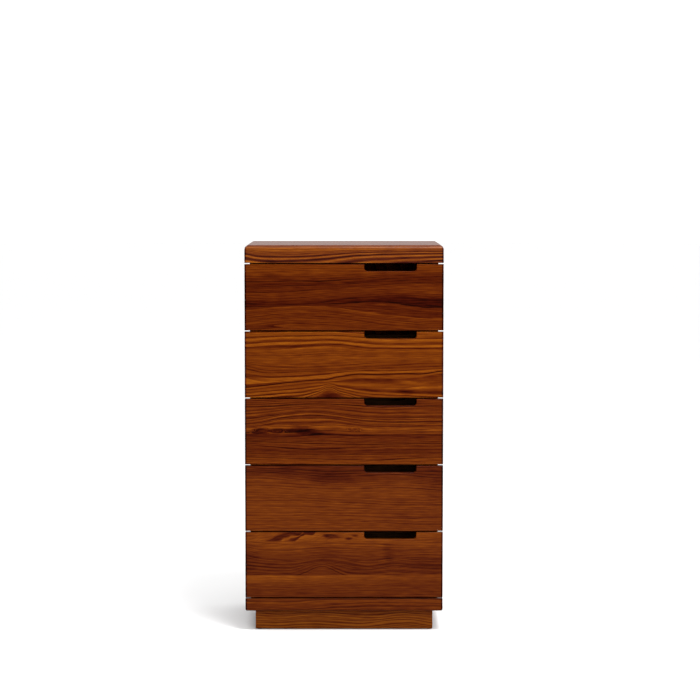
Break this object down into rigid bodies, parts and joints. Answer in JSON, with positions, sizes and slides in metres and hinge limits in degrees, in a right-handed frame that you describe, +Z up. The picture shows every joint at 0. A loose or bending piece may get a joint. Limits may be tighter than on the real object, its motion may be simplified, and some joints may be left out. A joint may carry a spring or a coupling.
{
  "type": "tall chest of drawers",
  "caption": "Tall narrow chest of full-width timber drawers on a recessed plinth; the thick top has rounded edges and each drawer front has a finger pull cut into its top edge.",
  "frame": {"origin": "centre of the footprint, on the floor", "axes": "+Z up, the drawer fronts face -Y, +X is to the right of somebody facing the fronts"},
  "size_m": [0.6, 0.45, 1.175],
  "materials": {
    "stained_timber": "solid timber, dark red-brown stain under satin varnish",
    "inner_timber": "solid timber, walnut-brown stain, matt",
    "plywood": "thin hardwood-faced plywood, stained brown, sealed",
    "runner_steel": "zinc-plated rolled steel",
    "screw_steel": "zinc-plated",
    "glide_nylon": "moulded nylon",
    "buffer_rubber": "soft translucent dots"
  },
  "bodies": {
    "case": {"top": "stained_timber", "bottom_board": "stained_timber", "left_side": "stained_timber", "right_side": "stained_timber", "back_panel": "plywood", "drawer_rails": "stained_timber", "plinth_front": "stained_timber", "plinth_back": "stained_timber", "plinth_ends": "stained_timber", "plinth_blocks": "inner_timber", "glides": "glide_nylon", "case_dowels": "inner_timber", "back_screws": "screw_steel", "buffers": "buffer_rubber", "runner_case_members": "runner_steel"},
    "drawer_1": {"drawer_1_front": "stained_timber", "drawer_1_box_front": "inner_timber", "drawer_1_box_back": "inner_timber", "drawer_1_left_side": "inner_timber", "drawer_1_right_side": "inner_timber", "drawer_1_bottom": "plywood", "drawer_1_screws": "screw_steel", "runner_1_inner": "runner_steel"},
    "runner_middle_1": {"runner_1_middle": "runner_steel"},
    "drawer_2": {"drawer_2_front": "stained_timber", "drawer_2_box_front": "inner_timber", "drawer_2_box_back": "inner_timber", "drawer_2_left_side": "inner_timber", "drawer_2_right_side": "inner_timber", "drawer_2_bottom": "plywood", "drawer_2_screws": "screw_steel", "runner_2_inner": "runner_steel"},
    "runner_middle_2": {"runner_2_middle": "runner_steel"},
    "drawer_3": {"drawer_3_front": "stained_timber", "drawer_3_box_front": "inner_timber", "drawer_3_box_back": "inner_timber", "drawer_3_left_side": "inner_timber", "drawer_3_right_side": "inner_timber", "drawer_3_bottom": "plywood", "drawer_3_screws": "screw_steel", "runner_3_inner": "runner_steel"},
    "runner_middle_3": {"runner_3_middle": "runner_steel"},
    "drawer_4": {"drawer_4_front": "stained_timber", "drawer_4_box_front": "inner_timber", "drawer_4_box_back": "inner_timber", "drawer_4_left_side": "inner_timber", "drawer_4_right_side": "inner_timber", "drawer_4_bottom": "plywood", "drawer_4_screws": "screw_steel", "runner_4_inner": "runner_steel"},
    "runner_middle_4": {"runner_4_middle": "runner_steel"},
    "drawer_5": {"drawer_5_front": "stained_timber", "drawer_5_box_front": "inner_timber", "drawer_5_box_back": "inner_timber", "drawer_5_left_side": "inner_timber", "drawer_5_right_side": "inner_timber", "drawer_5_bottom": "plywood", "drawer_5_screws": "screw_steel", "runner_5_inner": "runner_steel"},
    "runner_middle_5": {"runner_5_middle": "runner_steel"}
  },
  "joints": [
    {"name": "drawer_1_slide", "type": "slide", "parent": "case", "child": "drawer_1", "axis": [0, -1, 0], "range_m": [0, 0.38]},
    {"name": "runner_middle_1_slide", "type": "slide", "parent": "case", "child": "runner_middle_1", "axis": [0, -1, 0], "range_m": [0, 0.19]},
    {"name": "drawer_2_slide", "type": "slide", "parent": "case", "child": "drawer_2", "axis": [0, -1, 0], "range_m": [0, 0.38]},
    {"name": "runner_middle_2_slide", "type": "slide", "parent": "case", "child": "runner_middle_2", "axis": [0, -1, 0], "range_m": [0, 0.19]},
    {"name": "drawer_3_slide", "type": "slide", "parent": "case", "child": "drawer_3", "axis": [0, -1, 0], "range_m": [0, 0.38]},
    {"name": "runner_middle_3_slide", "type": "slide", "parent": "case", "child": "runner_middle_3", "axis": [0, -1, 0], "range_m": [0, 0.19]},
    {"name": "drawer_4_slide", "type": "slide", "parent": "case", "child": "drawer_4", "axis": [0, -1, 0], "range_m": [0, 0.38]},
    {"name": "runner_middle_4_slide", "type": "slide", "parent": "case", "child": "runner_middle_4", "axis": [0, -1, 0], "range_m": [0, 0.19]},
    {"name": "drawer_5_slide", "type": "slide", "parent": "case", "child": "drawer_5", "axis": [0, -1, 0], "range_m": [0, 0.38]},
    {"name": "runner_middle_5_slide", "type": "slide", "parent": "case", "child": "runner_middle_5", "axis": [0, -1, 0], "range_m": [0, 0.19]}
  ],
  "couplings": [
    {"joint": "runner_middle_1_slide", "follows": "drawer_1_slide", "ratio": 0.5},
    {"joint": "runner_middle_2_slide", "follows": "drawer_2_slide", "ratio": 0.5},
    {"joint": "runner_middle_3_slide", "follows": "drawer_3_slide", "ratio": 0.5},
    {"joint": "runner_middle_4_slide", "follows": "drawer_4_slide", "ratio": 0.5},
    {"joint": "runner_middle_5_slide", "follows": "drawer_5_slide", "ratio": 0.5}
  ]
}
